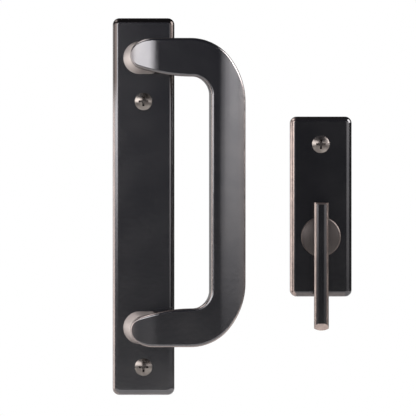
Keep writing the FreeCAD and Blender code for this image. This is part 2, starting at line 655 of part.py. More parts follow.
def make_lock_plate():
    """Short plate: one screw seat, ribs, and a collar that carries the thumb turn's bushing."""
    body = cast_plate("lock_plate", "lock_plate_length", "set_spacing",
                      [("lock_screw_rise", "boss_radius"), ("-hub_drop", f"{SPIGOT_RADIUS} + collar_step")])
    high = "lock_screw_rise - rib_clear"
    ribs = [("rib_at_screw", "lock_screw_rise"), ("rib_high", high),
            ("rib_mid", f"({high} + {SPIGOT_RADIUS} - hub_drop) / 2"), ("rib_at_collar", "-hub_drop"),
            ("rib_low", f"-(hub_drop + {SPIGOT_RADIUS} + lock_plate_length / 2) / 2")]
    for name, height in ribs:
        add_rib(body, name, height)
    add_screw_seat(body, "seat", "lock_screw_rise")
    spigot = new_sketch(body, "spigot", "XZ_Plane", up="-hub_drop")
    disc(spigot, "0", "0", SPIGOT_RADIUS)
    pad(body, spigot, "spigot_length", Reversed=True)
    stop = new_sketch(body, "stop", "XZ_Plane", lift="-spigot_length", up="-hub_drop")
    stop_outline(stop)
    pad(body, stop, "stop_height", Reversed=True)
    bore = new_sketch(body, "bushing_bore", "YZ_Plane", up="-hub_drop")
    ahead, behind = "-plate_thick - cut_past", "spigot_length + cut_past"
    flange = f"({BUSHING_RADIUS} + bushing_flange)"
    outline(bore, [(ahead, "0"), (behind, "0"), (behind, BUSHING_RADIUS),
                   ("flange_thick - plate_thick", BUSHING_RADIUS), ("flange_thick - plate_thick", flange),
                   (ahead, flange)])
    turned(body, bore, "H_Axis", "PartDesign::Groove")
    return body


def stop_outline(sketch):
    """The stop: most of a ring, open at the top for the washer's tab over its whole travel."""
    half_gap = "((turn_angle + tab_angle) / 2 + stop_play)"
    across, along = f"sin({half_gap} * 1deg)", f"cos({half_gap} * 1deg)"
    corners = [(f"{radius} * {side}{across}", f"{radius} * {along}")
               for radius, side in (("stop_inner", ""), ("stop_outer", ""), ("stop_outer", "-"),
                                    ("stop_inner", "-"))]
    right_in, right_out, left_out, left_in = [flat_point(*corner) for corner in corners]
    down = [FreeCAD.Vector(0, -value(radius), 0) for radius in ("stop_outer", "stop_inner")]
    first, outer, last, inner = sketch.addGeometry([
        Part.LineSegment(right_in, right_out), Part.Arc(left_out, down[0], right_out),
        Part.LineSegment(left_out, left_in), Part.Arc(left_in, down[1], right_in)])
    for joined in [(first, 2, outer, 2), (outer, 1, last, 1), (last, 2, inner, 1), (inner, 2, first, 1)]:
        sketch.addConstraint(Sketcher.Constraint("Coincident", *joined))
    for (edge, end), corner in zip([(first, 1), (first, 2), (last, 1), (last, 2)], corners):
        pin(sketch, edge, end, *corner)
    for edge, radius in ((outer, "stop_outer"), (inner, "stop_inner")):
        size(sketch, "Radius", edge, radius)


def make_bushing():
    """Flanged sleeve, pressed into the collar, in which the thumb turn's stem runs."""
    body = new_body("stem_bushing", x="set_spacing", z="plate_rise - hub_drop")
    profile = new_sketch(body, "bushing_profile", "XY_Plane")
    bore, flange = "(stem_radius + running_gap)", f"({BUSHING_RADIUS} + bushing_flange)"
    under = "flange_thick - plate_thick"
    outline(profile, [(bore, "-plate_thick"), (flange, "-plate_thick"), (flange, under),
                      (BUSHING_RADIUS, under), (BUSHING_RADIUS, "spigot_length"), (bore, "spigot_length")])
    turned(body, profile)
    return body


STOP_SEAT = "(spigot_length + seat_gap)"
SPRING_SEAT = f"({STOP_SEAT} + stop_washer_thick)"
THRUST_SEAT = f"({SPRING_SEAT} + disc_spring_cone + disc_spring_thick)"
RING_SEAT = f"({THRUST_SEAT} + thrust_thick)"


def turn_body(label):
    """A body on the axis of the thumb turn, with its origin on the door's face."""
    return new_body(label, x="set_spacing", z="plate_rise - hub_drop")


def make_lever():
    """The thumb turn in one casting: lever, neck, round base and the stem behind it."""
    body = turn_body("thumb_lever")
    core = new_sketch(body, "lever_core", "XY_Plane")
    back = "-(plate_thick + hub_gap)"
    rim, neck = f"{back} - hub_rim", f"{back} - hub_rim - hub_rise"
    deep, groove_end = "lever_thick / 2 - lever_front", f"({RING_SEAT} + ring_thick + 2 * ring_play)"
    corner = "hub_radius - hub_rim_round"
    outline(core, [("0", deep), ("0", "stem_end"), ("stem_radius - stem_chamfer", "stem_end"),
                   ("stem_radius", "stem_end - stem_chamfer"), ("stem_radius", groove_end),
                   ("ring_groove", groove_end), ("ring_groove", RING_SEAT), ("stem_radius", RING_SEAT),
                   ("stem_radius", back), ("hub_radius", back), ("hub_radius", f"{rim} + hub_rim_round"),
                   (corner, rim), ("neck_radius", neck), ("neck_radius", deep)],
            {10: ("hub_rim_round", -1), 11: ("hub_dome", -1)})
    turned(body, core)
    bar = new_sketch(body, "lever_bar", "YZ_Plane")
    front, inside = "-lever_front", "lever_thick - lever_front"
    outline(bar, [(inside, "-lever_down"), (inside, "lever_up"), (f"{front} + lever_top_facet", "lever_up"),
                  (front, "lever_up - lever_top_facet"), (front, "lever_facet - lever_down"),
                  (f"{front} + lever_facet_depth", "-lever_down")])
    solid = pad(body, bar, "lever_width", Midplane=True)
    sides = value("lever_width") / 2

    def along_bar(depth):
        return lambda edge: (abs(abs(middle(edge).x) - sides) < 1e-4 and abs(middle(edge).y - depth) < 1e-4
                             and runs_along(edge, FreeCAD.Vector(0, 0, 1)))

    fronted = round_edges(body, solid, "lever_round", along_bar(value(front)))
    round_edges(body, fronted, "lever_back_round", along_bar(value(inside)))
    end = new_sketch(body, "lever_end_cut", "XZ_Plane")
    half, below = "(lever_width / 2 + cut_past)", "-lever_down - cut_past"
    shoulder = f"lever_end - sqrt(lever_end ^ 2 - {half} ^ 2) - lever_down"
    outline(end, [(f"-{half}", shoulder), (half, shoulder), (half, below), (f"-{half}", below)],
            {0: ("lever_end", 1)})
    pocket(body, end, "2 * (lever_front + cut_past)", Midplane=True)
    flats = new_sketch(body, "stem_flats", "XZ_Plane", lift=f"-{STOP_SEAT}")
    wide = "(stem_radius + cut_past)"
    rectangle(flats, "stem_flat / 2", f"-{wide}", wide, wide)
    rectangle(flats, f"-{wide}", f"-{wide}", "-stem_flat / 2", wide)
    pocket(body, flats, "stem_end", Reversed=False)
    slot = new_sketch(body, "tail_slot", "XZ_Plane", lift="-stem_end")
    rectangle(slot, "-tail_thick / 2 - tail_play", "-tail_width / 2 - tail_play",
              "tail_thick / 2 + tail_play", "tail_width / 2 + tail_play")
    pocket(body, slot, "stem_end - tail_seat", Reversed=True)
    hole = new_sketch(body, "stem_pin_hole", "YZ_Plane")
    disc(hole, "pin_place", "0", "pin_radius")
    pocket(body, hole, "2 * (stem_radius + cut_past)", Midplane=True)
    return body


def make_stop_washer():
    """Flat washer with two flats to the stem and a tab that meets the stop at each end of travel."""
    body = turn_body("stop_washer")
    plate = new_sketch(body, "stop_disc", "XZ_Plane", lift=f"-{SPRING_SEAT}")
    disc(plate, "0", "0", "stop_disc")
    pad(body, plate, "stop_washer_thick")
    tab = new_sketch(body, "stop_tab", "XZ_Plane", lift=f"-{SPRING_SEAT}")
    sides = [f"(90 - turn_angle / 2 {sign} tab_angle / 2)" for sign in "-+"]
    corners = [(f"stop_tab * cos({side} * 1deg)", f"stop_tab * sin({side} * 1deg)") for side in sides]
    outline(tab, [("0", "0")] + corners, {1: ("stop_tab", 1)})
    pad(body, tab, "stop_washer_thick")
    hole = new_sketch(body, "stop_hole", "XZ_Plane", lift=f"-{SPRING_SEAT} - cut_past")
    wide, flat = "(stem_radius + washer_play)", "(stem_flat / 2 + washer_play)"
    tall = f"sqrt({wide} ^ 2 - {flat} ^ 2)"
    outline(hole, [(flat, f"-{tall}"), (flat, tall), (f"-{flat}", tall), (f"-{flat}", f"-{tall}")],
            {1: (wide, 1), 3: (wide, 1)})
    pocket(body, hole, "stop_washer_thick + 2 * cut_past", Reversed=True)
    return body


def make_turned_washer(label, points):
    """A washer on the stem from its half section."""
    body = turn_body(label)
    profile = new_sketch(body, label + "_profile", "XY_Plane")
    outline(profile, points)
    turned(body, profile)
    return body


def make_disc_spring():
    """Conical spring washer that keeps a light drag on the turn."""
    hole, rise = "(stem_radius + washer_play)", "disc_spring_cone"
    high = f"({SPRING_SEAT} + {rise})"
    return make_turned_washer("disc_spring", [
        (hole, high), ("disc_spring_radius", SPRING_SEAT),
        ("disc_spring_radius", f"{SPRING_SEAT} + disc_spring_thick"), (hole, f"{high} + disc_spring_thick")])


def make_thrust_washer():
    """Flat washer between the spring and the retaining ring."""
    hole = "(stem_radius + washer_play)"
    outside = "thrust_radius"
    return make_turned_washer("thrust_washer", [
        (hole, THRUST_SEAT), (outside, THRUST_SEAT), (outside, RING_SEAT), (hole, RING_SEAT)])


def make_retaining_ring():
    """Open ring snapped into the stem's groove."""
    start = f"({RING_SEAT} + ring_play)"
    end = f"({start} + ring_thick)"
    hole = "(ring_groove + ring_play)"
    body = make_turned_washer("retaining_ring", [
        (hole, start), ("ring_radius", start), ("ring_radius", end), (hole, end)])
    mouth = new_sketch(body, "ring_mouth_cut", "XZ_Plane", lift=f"-{end} - cut_past")
    rectangle(mouth, "-ring_mouth / 2", "0", "ring_mouth / 2", "ring_radius + cut_past")
    pocket(body, mouth, "ring_thick + 2 * cut_past", Reversed=True)
    return body


def make_tailpiece():
    """Flat bar, pinned in the stem's slot, that reaches into the lock."""
    body = turn_body("tailpiece")
    bar = new_sketch(body, "tail_bar", "YZ_Plane")
    half, tip = "tail_width / 2", "tail_thick / 2"
    outline(bar, [("tail_seat + tail_play", f"-{half}"), (f"tail_end - {tip}", f"-{half}"),
                  ("tail_end", f"{tip} - {half}"), ("tail_end", f"{half} - {tip}"),
                  (f"tail_end - {tip}", half), ("tail_seat + tail_play", half)])
    pad(body, bar, "tail_thick", Midplane=True)
    hole = new_sketch(body, "tail_pin_hole", "YZ_Plane")
    disc(hole, "pin_place", "0", "pin_radius")
    pocket(body, hole, "tail_thick + 2 * cut_past", Midplane=True)
    return body


def make_cross_pin():
    """Pin through the stem and the bar."""
    body = turn_body("tailpiece_pin")
    circle = new_sketch(body, "pin_circle", "YZ_Plane")
    disc(circle, "pin_place", "0", "pin_radius")
    pad(body, circle, "stem_flat", Midplane=True)
    return body


def make_all():
    """Builds every piece of the set."""
    make_pull_plate()
    make_bow()
    for foot, side in (("upper", "+"), ("lower", "-")):
        height = f"bow_rise {side} foot_mid"
        for place, x in (("left", "bow_screw_left"), ("right", "bow_screw_left + bow_screw_gap")):
            make_bow_screw(f"bow_screw_{foot}_{place}", x, height)
            make_spring_ring(f"spring_washer_{foot}_{place}", x, height)
    make_door_screw("pull_screw_upper", "0", "screw_spacing / 2", "pull_screw_length")
    make_door_screw("pull_screw_lower", "0", "-screw_spacing / 2", "pull_screw_length")
    make_lock_plate()
    make_door_screw("lock_plate_screw", "set_spacing", "plate_rise + lock_screw_rise", "lock_screw_length")
    make_bushing()
    make_lever()
    make_stop_washer()
    make_disc_spring()
    make_thrust_washer()
    make_retaining_ring()
    make_tailpiece()
    make_cross_pin()


def write_parts():
    """Stops at anything that failed, then writes each piece to its own file."""
    doc.recompute()
    failed = [thing.Name for thing in doc.Objects if "Invalid" in thing.State or "Error" in thing.State]
    pieces = [thing for thing in doc.Objects if thing.TypeId == "PartDesign::Body"]
    failed += [piece.Label for piece in pieces
               if piece.Shape.isNull() or not piece.Shape.isValid() or len(piece.Shape.Solids) != 1]
    if failed:
        raise RuntimeError("these did not come out whole: " + ", ".join(failed))
    for piece in pieces:
        piece.Shape.exportStep(f"parts/{piece.Label}.step")
        print(f"{piece.Label:28s} {piece.Shape.Volume:10.1f} mm3")


fill_sheet()
make_all()
write_parts()
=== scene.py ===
# %% [markdown]
# # Handle set of a sliding patio door
#
# The real set is cast metal with a dark oil-rubbed bronze finish: a bow pull on a tall plate,
# and a long lever that turns the lock, on a short plate. The solids come from CAD and stay as
# they are. This lesson gives them their finish, their light, and the small parts that a rule
# makes better than CAD does, such as the threaded screws.

# %% Load the frame
import math

import bmesh
import bpy
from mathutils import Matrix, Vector


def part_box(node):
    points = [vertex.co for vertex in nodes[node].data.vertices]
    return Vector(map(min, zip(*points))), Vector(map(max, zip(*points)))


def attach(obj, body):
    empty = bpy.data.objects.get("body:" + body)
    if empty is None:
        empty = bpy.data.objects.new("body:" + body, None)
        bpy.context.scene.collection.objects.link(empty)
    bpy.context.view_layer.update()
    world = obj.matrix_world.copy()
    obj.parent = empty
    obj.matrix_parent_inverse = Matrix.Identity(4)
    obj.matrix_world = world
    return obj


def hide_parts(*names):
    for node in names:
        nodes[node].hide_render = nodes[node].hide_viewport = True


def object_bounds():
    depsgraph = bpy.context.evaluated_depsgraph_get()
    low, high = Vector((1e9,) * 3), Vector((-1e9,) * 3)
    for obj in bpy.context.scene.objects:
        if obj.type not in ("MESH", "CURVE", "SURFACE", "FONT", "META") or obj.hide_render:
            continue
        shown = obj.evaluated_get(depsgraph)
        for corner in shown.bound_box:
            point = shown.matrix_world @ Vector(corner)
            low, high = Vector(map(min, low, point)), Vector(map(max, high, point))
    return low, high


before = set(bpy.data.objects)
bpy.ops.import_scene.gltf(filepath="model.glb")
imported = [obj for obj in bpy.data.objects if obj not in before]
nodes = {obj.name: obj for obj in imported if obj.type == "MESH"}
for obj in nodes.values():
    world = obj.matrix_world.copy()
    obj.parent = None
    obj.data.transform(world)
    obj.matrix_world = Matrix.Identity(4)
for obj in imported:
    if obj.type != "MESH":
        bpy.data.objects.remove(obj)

cad_low, cad_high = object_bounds()

# %% [markdown]
# ## The camera
#
# The photograph looks square on at the door from about three metres, and its square frame is
# 264 mm wide at the door's face. A long lens at that distance gives the same faint perspective:
# the lever and the grip, which stand nearer, look only a little larger than the plates.

# %% Camera
MM = 0.001
SENSOR = 36.0
VIEW_DISTANCE = 3.0
VIEW_WIDTH = 264.3 * MM
VIEW_CENTRE = Vector((40.88, 0.0, 16.61)) * MM

camera_data = bpy.data.cameras.new("square_on")
camera_data.sensor_width = SENSOR
camera_data.lens = SENSOR * VIEW_DISTANCE / VIEW_WIDTH
camera = bpy.data.objects.new("square_on", camera_data)
camera.location = VIEW_CENTRE - Vector((0.0, VIEW_DISTANCE, 0.0))
camera.rotation_euler = (math.pi / 2, 0.0, 0.0)
bpy.context.scene.collection.objects.link(camera)
bpy.context.scene.camera = camera
bpy.context.scene.view_settings.view_transform = "Standard"
print("camera lens", round(camera_data.lens), "mm")

# %% [markdown]
# ## Sums in a node tree
#
# A finish is a long sum of masks and noises. Wired by hand, each plus and times is a node. Here
# a small class holds one socket and knows the plain operators, so a mask can be written as a
# line of Python.

# %% One socket in a sum
class Wire:
    """One output socket of a tree, ready for use in a sum."""

    def __init__(self, board, socket):
        self.board, self.socket = board, socket

    def maths(self, operation, other=None, swapped=False):
        given = [self] if other is None else [other, self] if swapped else [self, other]
        return self.board.add("ShaderNodeMath", dict(enumerate(given)), operation=operation)

    def __add__(self, other): return self.maths("ADD", other)
    def __radd__(self, other): return self.maths("ADD", other)
    def __sub__(self, other): return self.maths("SUBTRACT", other)
    def __rsub__(self, other): return self.maths("SUBTRACT", other, swapped=True)
    def __mul__(self, other): return self.maths("MULTIPLY", other)
    def __rmul__(self, other): return self.maths("MULTIPLY", other)
    def __truediv__(self, other): return self.maths("DIVIDE", other)
    def __abs__(self): return self.maths("ABSOLUTE")

    def least(self, other): return self.maths("MINIMUM", other)
    def most(self, other): return self.maths("MAXIMUM", other)
    def clamp(self, low=0.0, high=1.0): return self.most(low).least(high)

    def step(self, low, high):
        """0 below low, 1 above high, smooth in between; low may be the larger of the two."""
        limits = {"Value": self, "From Min": low, "From Max": high}
        return self.board.add("ShaderNodeMapRange", limits, interpolation_type="SMOOTHSTEP")

    def between(self, zero, one):
        """The first value where this mask is 0, the second where it is 1."""
        return zero + self * (one - zero)

    def parts(self):
        """The three numbers of a vector."""
        split = self.board.add("ShaderNodeSeparateXYZ", {0: self}).socket.node
        return [Wire(self.board, output) for output in split.outputs]


print("sums ready")

# %% [markdown]
# Every other kind of node comes from one method of its tree. It takes the node's type, its
# settings, which are set first because they can change the sockets, and what goes into each
# socket: a number, or a wire.

# %% A tree to add nodes to
class Board:
    """A node tree to which nodes are added by type, settings and socket values."""

    def __init__(self, tree):
        self.tree = tree

    def add(self, kind, sockets=None, out=0, **settings):
        node = self.tree.nodes.new(kind)
        for name, setting in settings.items():
            setattr(node, name, setting)
        for key, given in (sockets or {}).items():
            if isinstance(given, Wire):
                self.tree.links.new(given.socket, node.inputs[key])
            else:
                node.inputs[key].default_value = given
        return Wire(self, node.outputs[out]) if node.outputs else None

    def blend(self, mask, first, second):
        """A colour that goes from first to second as the mask goes from 0 to 1."""
        given = {key: colour if isinstance(colour, Wire) else (*colour, 1.0)
                 for key, colour in ((6, first), (7, second))}
        return self.add("ShaderNodeMix", {0: mask, **given}, out=2, data_type="RGBA")


def blank(owner):
    """The emptied board of a world or a material."""
    owner.use_nodes = True
    owner.node_tree.nodes.clear()
    return Board(owner.node_tree)


print("boards ready")

# %% [markdown]
# ## The studio
#
# The photograph has a white backdrop and a dark room behind the camera, which is why the flat
# faces look nearly black while the round edges shine. Painted card could give that. A world is
# simpler, because Light Path tells it what a ray is for, and a world's own coordinates are the
# direction that the ray goes. The camera sees white. A reflection sees a pale screen at the
# back, darker at its right end, and behind the camera a dark, faintly blue room with some glow
# at its left. All other light is an even, low fill.

# %% World
WHITE = (1.0, 1.0, 1.0)
FILL_LIGHT = 0.32
ROOM_TINT = (0.86, 0.92, 1.16)
ROOM_DARK, ROOM_GLOW = 0.16, 0.22
SCREEN_DARK, SCREEN_PALE = 0.10, 0.60
TO_SCREEN = (-0.30, 0.40)
TO_PALE_END = (0.10, -0.45)
TO_GLOW = (-0.02, -0.50)

world = bpy.data.worlds.new("white_backdrop")
bpy.context.scene.world = world
sky = blank(world)
rightward, backward, _ = sky.add("ShaderNodeTexCoord").parts()
ray = sky.add("ShaderNodeLightPath").socket.node
seen_direct, seen_mirrored, seen_through = (
    Wire(sky, ray.outputs[kind]) for kind in ("Is Camera Ray", "Is Glossy Ray", "Is Transmission Ray"))
seen_mirrored = seen_mirrored.most(seen_through)
at_back = backward.step(*TO_SCREEN)
screen = rightward.step(*TO_PALE_END).between(SCREEN_DARK, SCREEN_PALE)
room = rightward.step(*TO_GLOW).between(ROOM_DARK, ROOM_GLOW)
strength = seen_mirrored.between(FILL_LIGHT, at_back.between(room, screen))
backdrop = sky.add("ShaderNodeBackground", {
    "Color": sky.blend(seen_mirrored * (1.0 - at_back), WHITE, ROOM_TINT),
    "Strength": seen_direct.between(strength, 1.0)})
sky.add("ShaderNodeOutputWorld", {"Surface": backdrop})
print("world with", len(sky.tree.nodes), "nodes")

# %% [markdown]
# The floor is a pale sheet well below the set, which hangs as it does in the photograph. To the
# camera it is mostly plain white, and wholly so further out, with a share of real light left in
# so that a shadow shows.

# %% Floor
FLOOR_DROP = 60 * MM
FLOOR_REACH = 6.0
FLOOR_GREY = (0.86, 0.86, 0.86, 1.0)
PLAIN_SHARE = 0.55
PLAIN_FROM = (0.18, 0.55)

floor_z = cad_low.z - FLOOR_DROP
corners = [(x * FLOOR_REACH, y * FLOOR_REACH, floor_z) for x, y in ((-1, -1), (1, -1), (1, 1), (-1, 1))]
floor_mesh = bpy.data.meshes.new("pale_floor")
floor_mesh.from_pydata(corners, [], [range(len(corners))])
floor = bpy.data.objects.new("pale_floor", floor_mesh)
bpy.context.scene.collection.objects.link(floor)

paper = bpy.data.materials.new("pale_paper")
sheet_board = blank(paper)
lit = sheet_board.add("ShaderNodeBsdfDiffuse", {"Color": FLOOR_GREY})
plain = sheet_board.add("ShaderNodeEmission", {"Color": (*WHITE, 1.0), "Strength": 1.0})
to_middle = sheet_board.add("ShaderNodeVectorMath", {
    0: sheet_board.add("ShaderNodeTexCoord", out=3), 1: (VIEW_CENTRE.x, 0.0, floor_z)},
    out=1, operation="DISTANCE")
to_camera = sheet_board.add("ShaderNodeLightPath")
plainly = to_camera * to_middle.step(*PLAIN_FROM).between(PLAIN_SHARE, 1.0)
shown = sheet_board.add("ShaderNodeMixShader", {0: plainly, 1: lit, 2: plain})
sheet_board.add("ShaderNodeOutputMaterial", {"Surface": shown})
floor_mesh.materials.append(paper)
print("floor at", round(floor_z, 3), "m")

# %% [markdown]
# ## The lamps
#
# Each lamp is an area light, aimed at the set. Its place decides which normals mirror it: a
# surface that leans 20 degrees to the left mirrors what stands 40 degrees to the left. A lone
# rectangle has a hard edge in polished metal. Three of them behind each other, each a little
# larger, fade out as a window with a curtain does.

# %% Lamps that fade
def soft_lamp(name, place, aim, width, height, watts):
    """A rectangular area light at a place, in metres, that faces its aim."""
    light = bpy.data.lights.new(name, "AREA")
    light.shape = "RECTANGLE"
    light.size, light.size_y = width, height
    light.energy = watts
    lamp = bpy.data.objects.new(name, light)
    lamp.location = place
    lamp.rotation_mode = "QUATERNION"
    lamp.rotation_quaternion = (Vector(aim) - Vector(place)).to_track_quat("-Z", "Y")
    lamp.visible_camera = False
    bpy.context.scene.collection.objects.link(lamp)


LAMP_STEP = 0.01


def soft_box(name, place, aim, width, height, watts, fade):
    """Three lamps behind each other; fade is the share of the size over which the light fades."""
    back = (Vector(place) - Vector(aim)).normalized() * LAMP_STEP
    sizes = (1.0 - fade, 1.0, 1.0 + fade)
    for number, size in enumerate(sizes):
        soft_lamp(f"{name}_{number}", Vector(place) + back * number, aim,
                  width * size, height * size, watts * size ** 2 / len(sizes))


print("lamp makers ready")

# %% [markdown]
# The window lights the tips of the bow and the left edges. The screen at the right puts the
# long soft band on the grip, and the lamp above it whitens the bow's outer corner. The wall and
# the two small lamps at the left draw the thin lines inside the bow and on its top and bottom.

# %% Lamps
soft_box("left_window", (-0.485, -0.61, 0.22), aim=(0.0, -0.03, 0.22),
         width=0.78, height=0.35, watts=7.6, fade=0.27)
soft_box("right_screen", (0.62, -0.72, 0.16), aim=(0.05, -0.03, 0.16),
         width=0.66, height=0.28, watts=2.2, fade=0.50)
soft_lamp("right_top", (0.60, -0.15, 0.36), aim=(0.06, -0.03, 0.10),
          width=0.45, height=0.45, watts=12.0)
soft_lamp("left_wall", (-0.62, 0.12, -0.06), aim=(-0.02, 0.0, -0.06),
          width=0.62, height=0.55, watts=4.2)
soft_lamp("upper_left", (-0.36, -0.05, 0.56), aim=(0.0, -0.02, 0.09),
          width=0.50, height=0.25, watts=2.4)
soft_lamp("lower_left", (-0.54, -0.40, -0.36), aim=(0.0, -0.03, 0.05),
          width=0.45, height=0.25, watts=2.2)

# %% [markdown]
# ## Oil-rubbed bronze
#
# The castings are plated, darkened and rubbed, then lacquered. Both bronze and copper are metal,
# so the colour sits in the reflection: the surface shader is fully metallic, and what varies is
# its colour, its roughness and a fine bump. Noise is measured in blobs to the millimetre, so
# that its scale can be compared with the real thing.

# %% What every finish needs
def principled(board, **sockets):
    """The surface shader and the material's output; sockets use the shader's names, _ for a space."""
    named = {name.replace("_", " "): given for name, given in sockets.items()}
    shader = board.add("ShaderNodeBsdfPrincipled", named)
    board.add("ShaderNodeOutputMaterial", {"Surface": shader})


def grain(board, place, per_mm, detail=2.0, roughness=0.5):
    """Noise with this many blobs to the millimetre."""
    return board.add("ShaderNodeTexNoise", {
        "Vector": place, "Scale": per_mm / MM, "Detail": detail, "Roughness": roughness})


def bump(board, height, depth):
    """A bump of this depth in metres, which feeds the shader's normal."""
    return board.add("ShaderNodeBump", {"Height": height, "Distance": depth, "Strength": 1.0})


CLOUD_EDGE = (0.35, 0.65)
print("finish helpers ready")

# %% [markdown]
# A real finish is made in layers, and so is this one. A casting starts as dark plating with
# faint clouds. Each kind of wear, and each painted shade or sheen, is then a mask, a colour and an
# amount of roughness laid over it. The masks read the piece's own axes: y runs from the room to
# the door, and the normal says how squarely a spot faces the front.

# %% The dark plating
BRONZE_DARK = (0.080, 0.077, 0.079)
BRONZE_DEEP = (0.070, 0.068, 0.071)
POLISH = 0.16
CLOUD_PER_MM, CLOUD_ROUGHNESS = 0.05, 0.04
FINE_PER_MM, FINE_SHARE = 1.6, 0.25
COARSE_PER_MM, COARSE_SHARE = 0.35, 0.75
CAST_BUMP = 0.02 * MM


class Casting(Board):
    """A bronze finish in layers: the dark plating first, then wear, painted shade and painted sheen laid
    over it.
    """

    def __init__(self, name, tone=1.0):
        self.finish = bpy.data.materials.new(name)
        super().__init__(blank(self.finish).tree)
        coords = self.add("ShaderNodeTexCoord").socket.node
        self.place = Wire(self, coords.outputs["Object"])
        self.x, self.y, self.z = self.place.parts()
        self.rightward, depth, _ = Wire(self, coords.outputs["Normal"]).parts()
        self.frontal = abs(depth)
        cloud = grain(self, self.place, CLOUD_PER_MM, detail=3.0)
        deep, dark = ([tone * part for part in bronze] for bronze in (BRONZE_DEEP, BRONZE_DARK))
        self.colour = self.blend(cloud.step(*CLOUD_EDGE), deep, dark)
        self.rough = POLISH + CLOUD_ROUGHNESS * cloud
        self.height = (FINE_SHARE * grain(self, self.place, FINE_PER_MM)
                       + COARSE_SHARE * grain(self, self.place, COARSE_PER_MM))

    def layer(self, mask, colour, rougher=0.0, share=1.0):
        """Covers this share of what lies under the mask with a colour, and makes it rougher."""
        self.colour = self.blend(mask * share, self.colour, colour)
        self.rough = self.rough + mask * rougher

    def done(self):
        principled(self, Base_Color=self.colour, Metallic=1.0, Roughness=self.rough,
                   Normal=bump(self, self.height, CAST_BUMP))
        return self.finish


print("plating ready")

# %% [markdown]
# Round edges, where hands and cloths rub, let the copper through. A front face is fully frontal,
# a side wall not at all, and a round edge is everything in between, so two steps of that number
# find the edges. The copper fades towards the top of the set and on edges that face right: that is painted
# shade.

# %% Rubbed edges and painted shade
COPPER_RUB = (0.27, 0.21, 0.188)
FROM_WALL = (0.05, 0.35)
NARROW_REACH, WIDE_REACH = (0.93, 0.70), (0.99, 0.94)
SPECK_PER_MM, SPECK_EDGE, SPECK_LEAST = 0.22, (0.3, 0.7), 0.72
# Painted shade: the copper thins towards the top of the set and on edges that face right.
TOP_SHADE_HEIGHT, COPPER_IN_TOP_SHADE = (110.0 * MM, 55.0 * MM), 0.4
RIGHT_SHADE_NORMAL = (-0.35, 0.10)


def rub_and_shade_edges(casting, share, reach=NARROW_REACH, copper_in_right_shade=1.0):
    """Copper on the edges, thinned as painted shade at the top and on right-facing edges; reach is where it
    ends towards the front.
    """
    edge = casting.frontal.step(*FROM_WALL) * casting.frontal.step(*reach)
    speck = grain(casting, casting.place, SPECK_PER_MM, detail=3.0).step(*SPECK_EDGE)
    rub_and_shade = edge * speck.between(SPECK_LEAST, 1.0)
    # Painted shade: less copper near the top, and on edges that face right.
    rub_and_shade = rub_and_shade * casting.z.step(*TOP_SHADE_HEIGHT).between(COPPER_IN_TOP_SHADE, 1.0)
    rub_and_shade = rub_and_shade * casting.rightward.step(*RIGHT_SHADE_NORMAL).between(1.0, copper_in_right_shade)
    casting.layer(rub_and_shade, COPPER_RUB, rougher=0.15, share=share)


print("rub ready")

# %% [markdown]
# Behind each plate is a rough hollow with ribs, as it left the mould. Its mask is a box a wall's
# thickness inside the plate, open to the back. Near the top, the tall plate's edges get painted
# shade, a dark brown where the bow shades them from the light.

# %% Hollows and painted shade near the top
# Painted shade near the top of the tall plate; the lever's base takes the same brown.
SHADE_AND_BASE_BROWN = (0.034, 0.028, 0.026)
SQUARE_ON, TOP_END = (0.995, 0.97), (75.0 * MM, 100.0 * MM)
RAW_CAST = (0.10, 0.094, 0.090)
PLATE_WALL, WALL_BLUR = 3.0 * MM, 0.2 * MM
BEHIND_FACE = (-6.0 * MM, -5.2 * MM)
RAW_PER_MM, RAW_HEIGHT = 1.1, 9.0


def shade_top_edges(casting):
    """Paints shade on the edges near the top: a dark brown in place of their shine."""
    casting.layer(casting.frontal.step(*SQUARE_ON) * casting.z.step(*TOP_END), SHADE_AND_BASE_BROWN)


def within(value, low, high):
    """1 inside the walls of a hollow that lies between low and high, 0 outside."""
    half = (high - low) / 2 - PLATE_WALL
    return abs(value - (low + high) / 2).step(half + WALL_BLUR, half - WALL_BLUR)


def raw_hollow(casting, node):
    """Gives a plate's hollow back the rough skin of the mould."""
    low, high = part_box(node)
    inside = (within(casting.x, low.x, high.x) * within(casting.z, low.z, high.z)
              * casting.y.step(*BEHIND_FACE))
    casting.layer(inside, RAW_CAST, rougher=0.28)
    skin = grain(casting, casting.place, RAW_PER_MM, detail=5.0, roughness=0.7)
    casting.height = casting.height + inside * (skin * RAW_HEIGHT)


print("hollows ready")

# %% [markdown]
# A solid that is carried over from CAD keeps its mesh and its place, and only its material slot
# changes. The short plate and its lever are darker than the pull, and the short plate's edges are
# rubbed wider.

# %% The plates
SHORT_SET_TONE = 0.62


def dress(node, finish):
    """Gives a carried-over solid its finish."""
    nodes[node].material_slots[0].material = finish


tall_plate = Casting("bronze_tall_plate")
rub_and_shade_edges(tall_plate, share=0.5, copper_in_right_shade=0.1)
# Painted shade on the edges near the top.
shade_top_edges(tall_plate)
raw_hollow(tall_plate, "pull_back_plate")
dress("pull_back_plate", tall_plate.done())

short_plate = Casting("bronze_short_plate", SHORT_SET_TONE)
rub_and_shade_edges(short_plate, share=1.0, reach=WIDE_REACH, copper_in_right_shade=0.0)
raw_hollow(short_plate, "lock_plate")
dress("lock_plate", short_plate.done())
print("plates dressed")

# %% [markdown]
# The bow's feet flare out to the plate. The flare is brushed, not polished, so it is rougher, and
# its pale colour is painted sheen, so it glows evenly. Its mask is a disc round the middle of each
# foot, near the plate. The lever's round base is satin brown, rougher in the same way, and ends where its
# neck begins.

# %% The bow and the lever
FOOT_HEIGHTS = (112.9, -60.3)
FOOT_MIDDLE = -2.5
# Painted sheen: the flare's pale colour stands in for the light that it catches.
FLARE_SHEEN = (0.29, 0.255, 0.24)
FLARE_ROUND, FLARE_DEEP = (14.5 * MM, 13.5 * MM), (-13.8 * MM, -12.8 * MM)
BASE_DEEP = (-15.0 * MM, -14.0 * MM)


